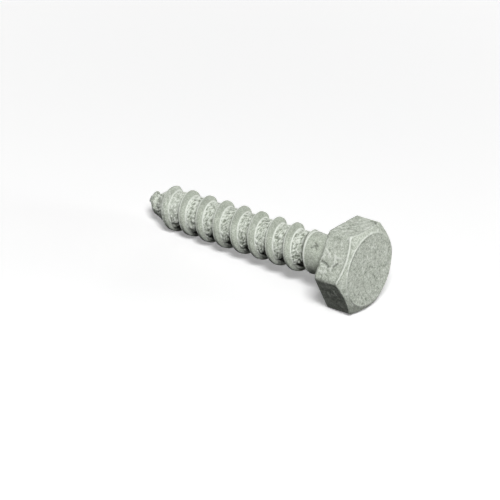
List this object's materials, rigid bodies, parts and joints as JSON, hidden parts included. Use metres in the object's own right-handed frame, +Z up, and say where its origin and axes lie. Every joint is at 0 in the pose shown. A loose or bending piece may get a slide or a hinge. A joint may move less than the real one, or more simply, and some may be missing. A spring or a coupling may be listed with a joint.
{
  "type": "lag screw",
  "caption": "Hexagon-head lag screw with a plain neck, coarse right-hand wood thread and gimlet point, hot-dip galvanised.",
  "frame": {"origin": "centre of the bounding box on the floor that the screw lies on", "axes": "+X towards the head along the screw's length, +Y across, +Z up; the screw's own axis lies in the XZ plane and rises 5.14 degrees towards the head"},
  "size_m": [0.0566, 0.0192, 0.0175],
  "materials": {
    "galvanised_zinc": "dull hot-dip galvanised zinc over steel"
  },
  "bodies": {
    "root": {"lag_screw": "galvanised_zinc"}
  },
  "joints": []
}
